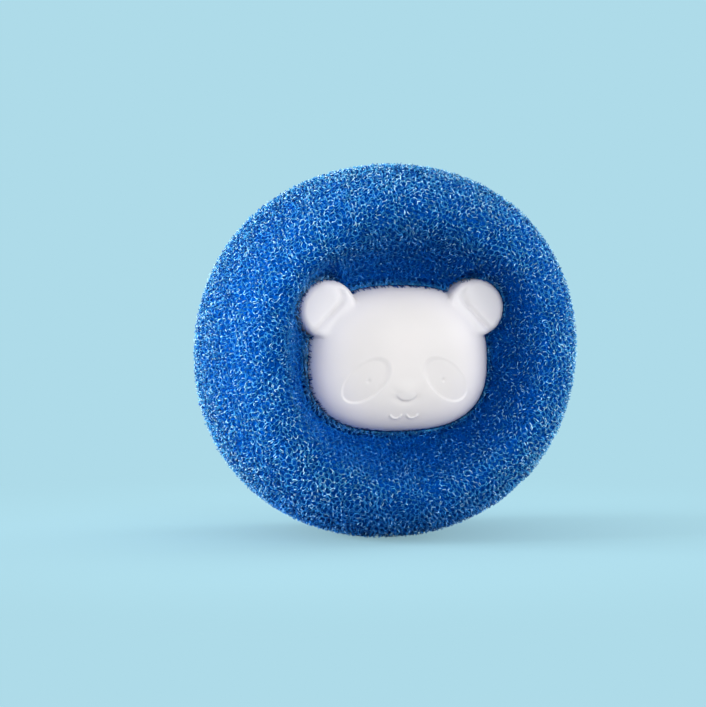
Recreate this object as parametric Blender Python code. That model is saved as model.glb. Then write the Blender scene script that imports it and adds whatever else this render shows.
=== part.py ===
"""Pet hair laundry ball: a ring of open-cell foam pinched between two white bear-head caps.

Each cap is one thin moulding with a ribbed core and a socket tube on its back. The two tubes
run through the hole in the foam and meet in the middle, and one ribbed pin pressed into both
holds the ball together.

The pieces are modelled in the ball's own frame, +X to the right of the face, +Y up the face
and +Z out of the front, and an empty stands that frame up on the ground with the front
towards -Y and the origin under the middle of the ball.
"""

import math

import bmesh
import bpy
from mathutils import Matrix, Vector

MM = 0.001

# The foam ring
FOAM_WIDTH = 60.0 * MM
FOAM_HEIGHT = 59.0 * MM
FOAM_THICKNESS = 38.0 * MM
CREST_RADIUS = 21.0 * MM  # where the pinched foam stands furthest forward
RIM_FULLNESS = 2.15  # exponent of the rounded outer side: 2 is an ellipse, more is fuller
PINCHED_THICKNESS = 11.4 * MM  # foam left between the two caps
LIP_SLOPE = 0.2  # the lip round a cap climbs this much per unit of distance from the axis
REST_FLAT = 0.5 * MM  # depth of the flat that the ball's weight presses on its rim

# The cap's outline, seen from the front
HEAD_WIDTH = 28.8 * MM
CROWN_HEIGHT = 11.9 * MM  # from the widest line up to the top of the head
CHIN_HEIGHT = 10.7 * MM  # from the widest line down to the chin
HEAD_DROP = 1.5 * MM  # the widest line lies this far under the ball's axis
CROWN_SQUARENESS = 2.6  # superellipse exponent above the widest line
CHIN_SQUARENESS = 2.6  # and below it

# The cap's depth
CHEEK_DEPTH = 1.6 * MM  # from the face that bears on the foam up to the widest level
BROW_DEPTH = 6.0 * MM  # from the widest level up to the top of the dome
DOME_SQUARENESS = 2.4
SHELL_WALL = 1.4 * MM
RIB_WIDTH = 1.0 * MM
RIB_PITCH = 5.2 * MM

# The ears
EAR_RADIUS = 4.5 * MM
EAR_SPACING = 23.6 * MM
EAR_RISE = 6.9 * MM  # above the ball's axis
EAR_DEPTH = 5.4 * MM
EAR_ROUNDING = 1.1 * MM
EAR_PAD_RADIUS = 4.2 * MM
EAR_PAD_SHIFT = 3.35 * MM  # from the ear's centre away from the head
EAR_GROOVE_WIDTH = 0.55 * MM
EAR_GROOVE_DEPTH = 0.4 * MM

# Eye hollows, nose and mouth
EYE_LENGTH = 8.8 * MM
EYE_WIDTH = 5.2 * MM
EYE_SPACING = 12.8 * MM
EYE_DROP = 4.1 * MM
EYE_TILT = math.radians(48)
EYE_HOLLOW_DEPTH = 0.55 * MM
NOSE_WIDTH = 3.4 * MM
NOSE_HEIGHT = 2.7 * MM
NOSE_RELIEF = 0.6 * MM
NOSE_DROP = 5.9 * MM
MOUTH_DROP = 9.3 * MM
MOUTH_CURL = 0.95 * MM  # radius of each of the two small curls
MOUTH_THICKNESS = 0.7 * MM

# Socket tube and pin
TUBE_RADIUS = 3.5 * MM
PIN_RADIUS = 2.0 * MM
PIN_RIBS = 6
PIN_RIB_RELIEF = 0.25 * MM
PIN_LENGTH = 18.0 * MM
PIN_CHAMFER = 0.5 * MM

# Clearances
SEAT_GAP = 0.3 * MM  # between pieces that touch
PRESS_GAP = 0.1 * MM  # between the pin's ribs and their socket

# Facets
FOAM_STEPS = 60
FOAM_DIMPLE_RINGS = 6
FOAM_RIM_RINGS = 6
HEAD_SEGMENTS = 48
HEAD_RINGS = 20
EAR_SEGMENTS = 28
ROUND_SEGMENTS = 32
STEPS_PER_PIN_RIB = 8
OUTLINE_SAMPLES = 720

# Levels along the ball's axis, worked out from the sizes above
PINCHED_LEVEL = PINCHED_THICKNESS / 2
CREST_LEVEL = FOAM_THICKNESS / 2
CAP_BACK = PINCHED_LEVEL + SEAT_GAP
WIDEST_LEVEL = CAP_BACK + CHEEK_DEPTH
EAR_LEVEL = CAP_BACK + EAR_DEPTH
SOCKET_END = PIN_LENGTH / 2 + SEAT_GAP
CENTRE_HEIGHT = FOAM_HEIGHT / 2 - REST_FLAT
TUBE_HOLE_RADIUS = TUBE_RADIUS + SEAT_GAP
EAR_TURN = math.atan2(EAR_RISE + HEAD_DROP, EAR_SPACING / 2)  # the way from the head to an ear
BEYOND = 5.0 * MM  # how far a cutter runs past what it cuts

COLLECTION = "pet_hair_laundry_ball"


def clear_scene():
    for obj in list(bpy.data.objects):
        bpy.data.objects.remove(obj, do_unlink=True)


def make_collection():
    collection = bpy.data.collections.new(COLLECTION)
    bpy.context.scene.collection.children.link(collection)
    return collection


def material(name, colour, roughness):
    """A Principled material of one plain colour, given as linear red, green and blue."""
    made = bpy.data.materials.new(name)
    made.use_nodes = True
    shader = made.node_tree.nodes["Principled BSDF"]
    shader.inputs["Base Color"].default_value = (*colour, 1.0)
    shader.inputs["Roughness"].default_value = roughness
    shader.inputs["Metallic"].default_value = 0.0
    made.diffuse_color = (*colour, 1.0)
    return made


def object_from(name, bm):
    mesh = bpy.data.meshes.new(name)
    bm.to_mesh(mesh)
    bm.free()
    obj = bpy.data.objects.new(name, mesh)
    bpy.context.scene.collection.objects.link(obj)
    return obj


def apply_modifiers(obj):
    """Replaces the object's mesh by what its modifiers make of it."""
    bpy.context.view_layer.update()
    graph = bpy.context.evaluated_depsgraph_get()
    made = bpy.data.meshes.new_from_object(obj.evaluated_get(graph))
    obj.modifiers.clear()
    obj.data = made
    return obj


def combine(obj, tool, operation):
    """Boolean of two objects, after which the tool is gone."""
    modifier = obj.modifiers.new(operation.title(), "BOOLEAN")
    modifier.operation = operation
    modifier.solver = "EXACT"
    modifier.object = tool
    apply_modifiers(obj)
    bpy.data.objects.remove(tool, do_unlink=True)
    return obj


def cylinder(name, radius, bottom, top, centre=(0.0, 0.0), segments=ROUND_SEGMENTS):
    bm = bmesh.new()
    bmesh.ops.create_cone(
        bm, cap_ends=True, segments=segments, radius1=radius, radius2=radius, depth=top - bottom
    )
    bmesh.ops.translate(bm, verts=bm.verts, vec=(*centre, (top + bottom) / 2))
    return object_from(name, bm)


def block(name, size, centre):
    bm = bmesh.new()
    bmesh.ops.create_cube(bm, size=1.0)
    bmesh.ops.scale(bm, verts=bm.verts, vec=size)
    bmesh.ops.translate(bm, verts=bm.verts, vec=centre)
    return object_from(name, bm)


def signed_power(value, exponent):
    return math.copysign(abs(value) ** exponent, value)


def head_half(above):
    """Half height and squareness of the head's outline above or below its widest line."""
    if above:
        return CROWN_HEIGHT, CROWN_SQUARENESS
    return CHIN_HEIGHT, CHIN_SQUARENESS


def head_point(angle, inset=0.0):
    """Point of the head's outline, seen from the middle of its widest line."""
    height, squareness = head_half(math.sin(angle) > 0)
    x = (HEAD_WIDTH / 2 - inset) * signed_power(math.cos(angle), 2 / squareness)
    y = (height - inset) * signed_power(math.sin(angle), 2 / squareness)
    return x, y


def head_reach(direction, grow):
    """Distance from the middle of the widest line to the outline, the way of the direction."""
    height, squareness = head_half(direction[1] > 0)
    across = (abs(direction[0]) / (HEAD_WIDTH / 2 + grow)) ** squareness
    along = (abs(direction[1]) / (height + grow)) ** squareness
    return (across + along) ** (-1 / squareness)


def ear_reach(direction, side, grow):
    """Distance, the same way, to the far side of an ear, or nothing where the ear isn't met."""
    x, y = side * EAR_SPACING / 2, EAR_RISE + HEAD_DROP
    ahead = x * direction[0] + y * direction[1]
    aside = x * direction[1] - y * direction[0]
    radius = EAR_RADIUS + grow
    if ahead < 0 or abs(aside) > radius:
        return 0.0
    return ahead + math.sqrt(radius * radius - aside * aside)


def cap_outline(grow, count):
    """The outline of head and ears together, grown, as evenly spaced points round the axis."""
    samples = []
    for step in range(OUTLINE_SAMPLES + 1):
        angle = 2 * math.pi * step / OUTLINE_SAMPLES
        way = (math.cos(angle), math.sin(angle))
        reach = max(head_reach(way, grow), ear_reach(way, -1, grow), ear_reach(way, 1, grow))
        samples.append(Vector((way[0] * reach, way[1] * reach - HEAD_DROP)))
    run = [0.0]
    for before, after in zip(samples, samples[1:]):
        run.append(run[-1] + (after - before).length)
    points = []
    step = 0
    for index in range(count):
        target = run[-1] * index / count
        while run[step + 1] < target:
            step += 1
        share = (target - run[step]) / (run[step + 1] - run[step])
        points.append(samples[step].lerp(samples[step + 1], share))
    return points


def head_dome(name, inset):
    """The head's block: a sphere pushed out to the outline and to the dome's depth.

    Above the widest level it is domed, and below it the sides run straight down, past the
    face that bears on the foam.
    """
    bm = bmesh.new()
    bmesh.ops.create_uvsphere(bm, u_segments=HEAD_SEGMENTS, v_segments=HEAD_RINGS, radius=1.0)
    for vert in bm.verts:
        rise = max(-1.0, min(1.0, vert.co.z))
        x, y = head_point(math.atan2(vert.co.y, vert.co.x), inset)
        spread = abs(1 - rise * rise) ** (1 / DOME_SQUARENESS)
        level = WIDEST_LEVEL + signed_power(rise, 2 / DOME_SQUARENESS) * (BROW_DEPTH - inset)
        if rise < 0:
            spread = 1.0 if rise > -1 else 0.0
            level = WIDEST_LEVEL + rise * (CHEEK_DEPTH + BEYOND)
        vert.co = Vector((x * spread, y * spread - HEAD_DROP, level))
    return object_from(name, bm)


def face_level(x, y):
    """Level of the dome's surface over a point of the face."""
    rise = y + HEAD_DROP
    height, squareness = head_half(rise > 0)
    share = (abs(x) / (HEAD_WIDTH / 2)) ** squareness + (abs(rise) / height) ** squareness
    spread = share ** (DOME_SQUARENESS / squareness)
    return WIDEST_LEVEL + BROW_DEPTH * (1 - spread) ** (1 / DOME_SQUARENESS)


def ear_centre(side, shift=0.0):
    """Centre of an ear, or a point a little further from the head."""
    x = EAR_SPACING / 2 + shift * math.cos(EAR_TURN)
    y = EAR_RISE + shift * math.sin(EAR_TURN)
    return side * x, y


def ear_disc(name, side, radius, bottom, top, rounding=0.0):
    """An ear's disc. Its front edge is rounded where a rounding is given."""
    ear = cylinder(name, radius, bottom, top, ear_centre(side), EAR_SEGMENTS)
    if rounding:
        bm = bmesh.new()
        bm.from_mesh(ear.data)
        rim = [e for e in bm.edges if all(v.co.z > top - rounding / 2 for v in e.verts)]
        bmesh.ops.bevel(bm, geom=rim, offset=rounding, segments=3, profile=0.5, affect="EDGES")
        bm.to_mesh(ear.data)
        bm.free()
    return ear


def ear_groove(side):
    """A ring-shaped cutter along the head's side of the ear's pad, which covers the far side."""
    centre = ear_centre(side, EAR_PAD_SHIFT)
    floor = EAR_LEVEL - EAR_GROOVE_DEPTH
    outer = EAR_PAD_RADIUS + EAR_GROOVE_WIDTH
    ring = cylinder("ear_groove", outer, floor, floor + BEYOND, centre, EAR_SEGMENTS)
    pad = cylinder(
        "ear_pad", EAR_PAD_RADIUS, floor - BEYOND, floor + BEYOND * 2, centre, EAR_SEGMENTS
    )
    return combine(ring, pad, "DIFFERENCE")


def eye_cutter(side):
    """What an eye hollow removes: an oval column down to a dome a little under the face."""
    bm = bmesh.new()
    bmesh.ops.create_cone(
        bm, cap_ends=True, segments=ROUND_SEGMENTS, radius1=0.5, radius2=0.5, depth=1.0
    )
    bmesh.ops.scale(bm, verts=bm.verts, vec=(EYE_WIDTH, EYE_LENGTH, BROW_DEPTH * 4))
    bmesh.ops.rotate(bm, verts=bm.verts, matrix=Matrix.Rotation(side * EYE_TILT, 3, "Z"))
    level = WIDEST_LEVEL + BROW_DEPTH * 2
    bmesh.ops.translate(bm, verts=bm.verts, vec=(side * EYE_SPACING / 2, -EYE_DROP, level))
    column = object_from("eye_column", bm)
    return combine(column, head_dome("eye_floor", EYE_HOLLOW_DEPTH), "DIFFERENCE")


def nose():
    """A low oval button that stands out of the dome most on its underside."""
    bm = bmesh.new()
    bmesh.ops.create_uvsphere(bm, u_segments=20, v_segments=10, radius=0.5)
    bmesh.ops.scale(bm, verts=bm.verts, vec=(NOSE_WIDTH, NOSE_HEIGHT, NOSE_HEIGHT))
    level = face_level(0.0, -NOSE_DROP) + NOSE_RELIEF - NOSE_HEIGHT / 2
    bmesh.ops.translate(bm, verts=bm.verts, vec=(0.0, -NOSE_DROP, level))
    return object_from("nose", bm)


def mouth_curl(side):
    """One of the two small raised curls of the mouth, a round wire half sunk into the dome."""
    curve = bpy.data.curves.new("mouth_curl", "CURVE")
    curve.dimensions = "3D"
    curve.bevel_depth = MOUTH_THICKNESS / 2
    curve.bevel_resolution = 1
    curve.use_fill_caps = True
    count = 7
    line = curve.splines.new("POLY")
    line.points.add(count - 1)
    for index, point in enumerate(line.points):
        angle = math.pi * (1.1 + 0.8 * index / (count - 1))
        x = side * MOUTH_CURL + MOUTH_CURL * math.cos(angle)
        y = -MOUTH_DROP + MOUTH_CURL * math.sin(angle)
        point.co = (x, y, face_level(x, y) - MOUTH_THICKNESS / 8, 1.0)
    wire = bpy.data.objects.new("mouth_curl", curve)
    bpy.context.scene.collection.objects.link(wire)
    bpy.context.view_layer.update()
    made = bpy.data.objects.new("mouth_curl_solid", bpy.data.meshes.new_from_object(wire))
    bpy.context.scene.collection.objects.link(made)
    bpy.data.objects.remove(wire, do_unlink=True)
    return made


def core_ribs():
    """The ribs and the socket's column that stand in the cap's hollow, as one solid."""
    top = WIDEST_LEVEL + BROW_DEPTH + BEYOND
    bottom = CAP_BACK - BEYOND * 2
    middle = (top + bottom) / 2
    ribs = cylinder("core", TUBE_RADIUS, bottom, top)
    span = HEAD_WIDTH + BEYOND * 2
    bar = block("crossbar", (span, RIB_WIDTH, top - bottom - BEYOND), (0.0, 0.0, middle))
    combine(ribs, bar, "UNION")
    count = int(HEAD_WIDTH / 2 / RIB_PITCH)
    for place in range(-count, count + 1):
        size = (RIB_WIDTH, span, top - bottom - BEYOND / 2)
        combine(ribs, block("rib", size, (place * RIB_PITCH, 0.0, middle)), "UNION")
    return ribs


def outer_form():
    """The cap's outside: dome, ears, nose and mouth, with the eye hollows and ear grooves."""
    form = head_dome("cap", 0.0)
    for side in (-1, 1):
        ear = ear_disc("ear", side, EAR_RADIUS, CAP_BACK - BEYOND, EAR_LEVEL, EAR_ROUNDING)
        combine(form, ear, "UNION")
        combine(form, ear_groove(side), "DIFFERENCE")
        combine(form, eye_cutter(side), "DIFFERENCE")
    combine(form, nose(), "UNION")
    for side in (-1, 1):
        combine(form, mouth_curl(side), "UNION")
    return form


def cored_hollow():
    """What is cored out of the cap's back: the space inside its wall, less the ribs."""
    hollow = head_dome("hollow", SHELL_WALL)
    for side in (-1, 1):
        core = ear_disc(
            "ear_core",
            side,
            EAR_RADIUS - SHELL_WALL,
            CAP_BACK - BEYOND,
            EAR_LEVEL - EAR_GROOVE_DEPTH - SHELL_WALL,
        )
        combine(hollow, core, "UNION")
    return combine(hollow, core_ribs(), "DIFFERENCE")


def cap():
    """One bear-head cap: outside, cored back, socket tube and the bore for the pin."""
    made = outer_form()
    combine(made, cored_hollow(), "DIFFERENCE")
    size = (HEAD_WIDTH * 2, (CROWN_HEIGHT + CHIN_HEIGHT) * 2, BEYOND * 4)
    combine(made, block("behind", size, (0.0, 0.0, CAP_BACK - BEYOND * 2)), "DIFFERENCE")
    combine(made, cylinder("tube", TUBE_RADIUS, SEAT_GAP / 2, WIDEST_LEVEL), "UNION")
    socket = cylinder("socket", PIN_RADIUS + PRESS_GAP, -BEYOND, SOCKET_END)
    return combine(made, socket, "DIFFERENCE")


def skin(bm, rings, closed=False):
    """Faces between each ring of vertices and the next, and back to the first if closed."""
    following = rings[1:] + rings[:1] if closed else rings[1:]
    for low, high in zip(rings, following):
        for here in range(len(low)):
            after = (here + 1) % len(low)
            bm.faces.new((low[here], low[after], high[after], high[here]))


def ribbed_pin():
    """The pin that joins the two sockets: low ribs along it, and a chamfer at both ends."""
    bm = bmesh.new()
    points = PIN_RIBS * STEPS_PER_PIN_RIB
    levels = (
        (-PIN_LENGTH / 2, PIN_CHAMFER),
        (-PIN_LENGTH / 2 + PIN_CHAMFER, 0.0),
        (PIN_LENGTH / 2 - PIN_CHAMFER, 0.0),
        (PIN_LENGTH / 2, PIN_CHAMFER),
    )
    rings = []
    for level, inset in levels:
        ring = []
        for step in range(points):
            angle = 2 * math.pi * step / points
            wave = (1 - math.cos(PIN_RIBS * angle)) / 2
            radius = PIN_RADIUS - inset - PIN_RIB_RELIEF * wave
            point = (radius * math.cos(angle), radius * math.sin(angle), level)
            ring.append(bm.verts.new(point))
        rings.append(ring)
    skin(bm, rings)
    bm.faces.new(list(reversed(rings[0])))
    bm.faces.new(rings[-1])
    return object_from("pin", bm)


def foam_circle(radius, angles):
    """A ring of points round the ball's axis, widened as the ball is."""
    widen = FOAM_WIDTH / FOAM_HEIGHT
    return [Vector((radius * widen * math.cos(a), radius * math.sin(a))) for a in angles]


def foam_angles(edge):
    """Directions of the foam's rings, halfway between even ones and those of the cap's edge."""
    angles = []
    for step, point in enumerate(edge):
        even = 2 * math.pi * step / len(edge)
        lean = (math.atan2(point.y, point.x) - even + math.pi) % (2 * math.pi) - math.pi
        angles.append(even + lean / 2)
    return angles


def foam_front():
    """Rings of the front half of the foam, from the hole's edge over the crest to the rim.

    The foam lies flat under the cap, rises straight to a lip round the cap's outline, climbs
    to the crest by a cosine curve and comes down the outer side by a quarter superellipse.
    Each ring is a list of (x, y, level), and rings crowd together towards the crest.
    """
    edge = cap_outline(SEAT_GAP, FOAM_STEPS)
    angles = foam_angles(edge)
    hole = [(TUBE_HOLE_RADIUS * math.cos(a), TUBE_HOLE_RADIUS * math.sin(a)) for a in angles]
    crest = foam_circle(CREST_RADIUS, angles)
    rings = [[(*p, PINCHED_LEVEL) for p in hole], [(*p, PINCHED_LEVEL) for p in edge]]
    for ring in range(FOAM_DIMPLE_RINGS):
        share = 1 - (1 - ring / FOAM_DIMPLE_RINGS) ** 1.5
        climb = (1 - math.cos(math.pi * share)) / 2
        points = []
        for low, high in zip(edge, crest):
            lip = WIDEST_LEVEL + LIP_SLOPE * (low.length - CHIN_HEIGHT)
            spot = low.lerp(high, share)
            points.append((*spot, lip + climb * (CREST_LEVEL - lip)))
        rings.append(points)
    for ring in range(FOAM_RIM_RINGS + 1):
        angle = math.pi / 2 * (1 - (ring / FOAM_RIM_RINGS) ** 1.2)
        out = abs(math.cos(angle)) ** (2 / RIM_FULLNESS)
        up = abs(math.sin(angle)) ** (2 / RIM_FULLNESS)
        radius = CREST_RADIUS + out * (FOAM_HEIGHT / 2 - CREST_RADIUS)
        rings.append([(*p, CREST_LEVEL * up) for p in foam_circle(radius, angles)])
    return rings


def foam_ring():
    """The foam: its front half, the same mirrored behind, and the flat that it rests on."""
    front = foam_front()
    front[-1] = [(x, y, 0.0) for x, y, level in front[-1]]
    back = [[(x, y, -level) for x, y, level in ring] for ring in reversed(front[:-1])]
    bm = bmesh.new()
    rings = [[bm.verts.new(point) for point in ring] for ring in front + back]
    skin(bm, rings, closed=True)
    bmesh.ops.recalc_face_normals(bm, faces=bm.faces)
    foam = object_from("foam", bm)
    size = (FOAM_WIDTH, BEYOND * 2, FOAM_THICKNESS * 2)
    ground = block("ground", size, (0.0, -CENTRE_HEIGHT - BEYOND, 0.0))
    return combine(foam, ground, "DIFFERENCE")


def place(name, source, collection, axis, finish, turn=0.0):
    """A named piece that shares the source's mesh, under the ball's axis."""
    piece = bpy.data.objects.new(name, source.data)
    piece.parent = axis
    piece.rotation_euler = (0.0, turn, 0.0)
    collection.objects.link(piece)
    if not piece.data.materials:
        piece.data.materials.append(finish)
        piece.data.shade_smooth()
        piece.data.set_sharp_from_angle(angle=math.radians(35))
    return piece


def main():
    clear_scene()
    collection = make_collection()
    axis = bpy.data.objects.new("ball_axis", None)
    axis.location = (0.0, 0.0, CENTRE_HEIGHT)
    axis.rotation_euler = (math.radians(90), 0.0, 0.0)
    axis.empty_display_size = 10 * MM
    collection.objects.link(axis)

    blue_foam = material("blue_open_cell_foam", (0.010, 0.110, 0.420), 0.55)
    white_plastic = material("white_polypropylene", (0.840, 0.835, 0.860), 0.38)
    pin_plastic = material("natural_polypropylene", (0.700, 0.700, 0.680), 0.45)

    foam, bear_cap, pin = foam_ring(), cap(), ribbed_pin()
    place("foam_ring", foam, collection, axis, blue_foam)
    place("front_cap", bear_cap, collection, axis, white_plastic)
    place("rear_cap", bear_cap, collection, axis, white_plastic, math.pi)
    place("joining_pin", pin, collection, axis, pin_plastic)
    for source in (foam, bear_cap, pin):
        bpy.data.objects.remove(source, do_unlink=True)


if __name__ == "__main__":
    main()
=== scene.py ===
"""Pet hair laundry ball: open-cell foam pinched between two white bear-head caps.

Laid out as an add-on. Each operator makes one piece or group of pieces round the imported
model, and the panel lists them. Lengths in the code are millimetres in the ball's own frame
(x to the right of the face, y up the face, z out of the front) until a piece is placed.
Materials, lamps and the camera use metres.
"""

import math

import bpy
import numpy as np
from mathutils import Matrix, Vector


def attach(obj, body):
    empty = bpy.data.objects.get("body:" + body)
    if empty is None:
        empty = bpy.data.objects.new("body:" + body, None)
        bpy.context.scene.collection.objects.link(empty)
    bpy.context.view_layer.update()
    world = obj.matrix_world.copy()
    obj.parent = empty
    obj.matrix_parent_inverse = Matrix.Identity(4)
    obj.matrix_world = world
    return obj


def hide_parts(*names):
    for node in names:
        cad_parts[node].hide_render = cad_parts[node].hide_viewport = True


bl_info = {
    "name": "Pet hair laundry ball",
    "version": (1, 0, 0),
    "blender": (4, 5, 0),
    "location": "View3D > Sidebar > Laundry ball",
    "description": "Foam strands, bear-head caps, finishes and stage for a pet hair laundry ball",
    "category": "Object",
}

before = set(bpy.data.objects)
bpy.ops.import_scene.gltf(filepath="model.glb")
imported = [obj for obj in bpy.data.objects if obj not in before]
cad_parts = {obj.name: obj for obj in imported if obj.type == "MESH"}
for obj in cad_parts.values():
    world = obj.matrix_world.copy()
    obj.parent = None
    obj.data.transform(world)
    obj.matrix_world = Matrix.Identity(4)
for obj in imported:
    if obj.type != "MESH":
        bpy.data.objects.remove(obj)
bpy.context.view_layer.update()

MM = 0.001
CENTRE_HEIGHT = 29.0  # of the ball's axis over the ground

# The ball's sizes, as in the model
FOAM_WIDEN = 60.0 / 59.0
FOAM_RADIUS = 29.5
CREST_RADIUS = 21.0
CREST_LEVEL = 19.0
RIM_FULLNESS = 2.15
PINCHED_LEVEL = 5.7
LIP_SLOPE = 0.2
LIP_RISE = 0.5  # how far the foam's lip stands over the caps' widest level
EAR_LIP_RISE = 1.5  # and how much more beside the ears
EAR_LIP_START = 16.2  # distance from the axis about which that begins
SEAT_GAP = 0.3
HEAD_HALF_WIDTH = 14.4
CROWN_HEIGHT = 11.9
CHIN_HEIGHT = 10.7
HEAD_DROP = 1.5
CROWN_SQUARENESS = 2.6
CHIN_SQUARENESS = 2.6
CAP_BACK = 6.0
WIDEST_LEVEL = 7.6
BROW_DEPTH = 6.0
DOME_SQUARENESS = 2.4
SHELL_WALL = 1.4
RIB_PITCH = 5.2
RIB_WIDTH = 1.0
TUBE_RADIUS = 3.5
BORE_RADIUS = 2.1
SOCKET_END = 9.3
EAR_RADIUS = 4.5
EAR_X = 11.8
EAR_Y = 6.9
EAR_LEVEL = 11.4
EAR_TURN = 224.0  # degrees, the way from an ear's pad to the head
EYE_X = 6.4
EYE_Y = -4.0
EYE_TILT = 48.0  # degrees from upright, with the oval's top toward the nose
EYE_HALF_LENGTH = 4.2
EYE_HALF_WIDTH = 2.5
NOSE_Y = -5.9
MOUTH_X = 1.3
MOUTH_Y = -9.3

# How the foam's net is made
BALL_BOX = (31.5, 30.5, 20.0)  # half the sides of a box round the ball
LATTICE_REACH = 40.0  # half the side of the cube of cells that the ball is cut from
SEED_SHIFT = 0.24  # how far a cell's seed may move, in cells
SLOW_WAVES = (  # the direction, size and phase of the waves that bend the net
    ((0.55, 0.31, 0.23), 0.30, 0.4),
    ((-0.28, 0.62, 0.37), 0.28, 1.9),
    ((0.33, -0.41, 0.66), 0.30, 4.4),
    ((1.3, 0.9, -0.7), 0.10, 2.2),
)
RIM_START = 27.2  # radius about which strands painted dark, as shade round the widest line, begin to be mixed in
FOOT_DROP = 22.5  # how far under the axis the strands start to be painted darker and bluer, as shade toward the foot
FRAY_WIDTH = 0.5  # of the band beside a cap in which strands stand out further
HAIR_COUNT = 640  # over each cap's edge, before the notches are cleared
HAIR_ROOT = (0.25, 0.45)  # range of a root's distance outside the cap's outline
HAIR_BEND = (0.05, 0.12)  # of its bend's
HAIR_TIP = (-0.34, 0.12)  # and of its tip's, which may lie over the cap
HAIR_SPAN = 0.6  # the longest half of a hair, seen from the front

# Where the photo shows the ball
PHOTO_CENTRE = (353.0, 353.5)  # of the whole frame, in pixels
PHOTO_BALL = (383.5, 350.0)  # of the ball's outline
PHOTO_SCALE = 6.31  # pixels to a millimetre
CAMERA_DISTANCE = 0.4039  # metres


# Sizes and colours that a user may change


class FoamSettings(bpy.types.PropertyGroup):
    """The foam's cells and colours"""

    cell: bpy.props.FloatProperty(
        name="Cell period",
        description="Cubic period of the cells, in mm",
        default=1.0,
        unit="NONE",
    )
    strand: bpy.props.FloatProperty(
        name="Strand radius",
        description="Radius of a strand, in mm",
        default=0.06,
        unit="NONE",
    )
    depth: bpy.props.FloatProperty(
        name="Strand depth",
        description="How deep under the surface strands are made, in mm",
        default=0.65,
        unit="NONE",
    )
    # The strand colour is a painted highlight: the pale glint of the strands that shine, and
    # painted light beside the caps.
    strand_colour: bpy.props.StringProperty(
        name="Strand colour",
        description="sRGB hex colour of the outermost strands",
        default="B8EAFF",
    )
    middle_colour: bpy.props.StringProperty(
        name="Middle colour",
        description="sRGB hex colour a little under the skin",
        default="48ACDE",
    )
    # The two shaded colours are painted shade: the deeper, bluer colours given to the strands down
    # the dimple, beside the caps and toward the foot.
    shaded_strand_colour: bpy.props.StringProperty(
        name="Pressed strand colour",
        description="sRGB hex colour of the outermost strands where the foam is pressed",
        default="8ACEFF",
    )
    shaded_middle_colour: bpy.props.StringProperty(
        name="Pressed middle colour",
        description="sRGB hex colour a little under the skin where the foam is pressed",
        default="2C8CDE",
    )
    # The core colour is painted shade: the dark blue of the foam's depths, where little light comes
    # out.
    core_colour: bpy.props.StringProperty(
        name="Core colour",
        description="sRGB hex colour deep in the foam",
        default="0259BC",
    )


class CapSettings(bpy.types.PropertyGroup):
    """The caps' finish"""

    colour: bpy.props.StringProperty(
        name="Cap colour",
        description="sRGB hex colour of the middle of the caps' faces",
        default="E9E5E3",
    )
    # The rim colour is painted light: lighter than the middle, against the shade on the cap's edges
    # and ears.
    rim_light_colour: bpy.props.StringProperty(
        name="Rim colour",
        description="sRGB hex colour of the caps' rims and ears",
        default="F5F1F3",
    )
    roughness: bpy.props.FloatProperty(
        name="Roughness",
        description="Roughness of the caps' moulded surface",
        default=0.45,
        subtype="FACTOR",
    )


class StageSettings(bpy.types.PropertyGroup):
    """The floor, the backdrop, the lamps and the camera"""

    backdrop: bpy.props.StringProperty(
        name="Backdrop",
        description="sRGB hex colour of floor and backdrop",
        default="AEDBE9",
    )
    azimuth: bpy.props.FloatProperty(
        name="Camera azimuth",
        description="Camera's way round the ball from its front, in degrees",
        default=-15.0,
    )
    elevation: bpy.props.FloatProperty(
        name="Camera elevation",
        description="Camera's height over the horizon, in degrees",
        default=3.0,
    )


# Colours and nodes


def linear(hex_colour):
    """An sRGB hex colour as linear red, green, blue and alpha."""
    values = [int(hex_colour[i : i + 2], 16) / 255 for i in (0, 2, 4)]
    return (*[v / 12.92 if v <= 0.04045 else ((v + 0.055) / 1.055) ** 2.4 for v in values], 1.0)


def fill_inputs(tree, node, inputs):
    """Fills a node's inputs with values or links.

    Another node given as an input is linked from its first output in use.
    """
    for name, value in inputs.items():
        if isinstance(value, bpy.types.Node):
            value = next(output for output in value.outputs if output.enabled)
        if isinstance(value, bpy.types.NodeSocket):
            tree.links.new(value, node.inputs[name])
        else:
            node.inputs[name].default_value = value


def add_node(tree, kind, inputs=None, **settings):
    """Adds a node with its settings and fills its inputs."""
    node = tree.nodes.new(kind)
    for name, value in settings.items():
        setattr(node, name, value)
    fill_inputs(tree, node, inputs or {})
    return node


def new_material(name):
    """An empty material with its Principled shader and output."""
    material = bpy.data.materials.new(name)
    material.use_nodes = True
    tree = material.node_tree
    return material, tree, tree.nodes["Principled BSDF"]


# Shapes


def step(value, width):
    """0 below -width/2, 1 above width/2, smooth between."""
    share = np.clip(value / width + 0.5, 0, 1)
    return share * share * (3 - 2 * share)


def head_reach(c, s, grow=0.0):
    """Distance to the head's outline along the direction (c, s) from its widest line.

    The outline is a superellipse with one height and squareness above that line and another
    below it.
    """
    above = s > 0
    height = np.where(above, CROWN_HEIGHT, CHIN_HEIGHT) + grow
    power = np.where(above, CROWN_SQUARENESS, CHIN_SQUARENESS)
    across = (np.abs(c) / (HEAD_HALF_WIDTH + grow)) ** power
    return (across + (np.abs(s) / height) ** power) ** (-1 / power)


def ear_reach(c, s, side, grow=0.0):
    """Distance, the same way, to the far side of an ear's circle, or 0 where it is missed."""
    x, y = side * EAR_X, EAR_Y + HEAD_DROP
    ahead = x * c + y * s
    aside = x * s - y * c
    inside = (EAR_RADIUS + grow) ** 2 - aside**2
    reach = ahead + np.sqrt(np.maximum(inside, 0.0))
    return np.where((inside > 0) & (ahead > 0), reach, 0.0)


def cap_reach(angle, grow=0.0):
    """Distance from the middle of the widest line to the outline of head and ears together."""
    c, s = np.cos(angle), np.sin(angle)
    ears = np.maximum(ear_reach(c, s, -1, grow), ear_reach(c, s, 1, grow))
    return np.maximum(head_reach(c, s, grow), ears)


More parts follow.
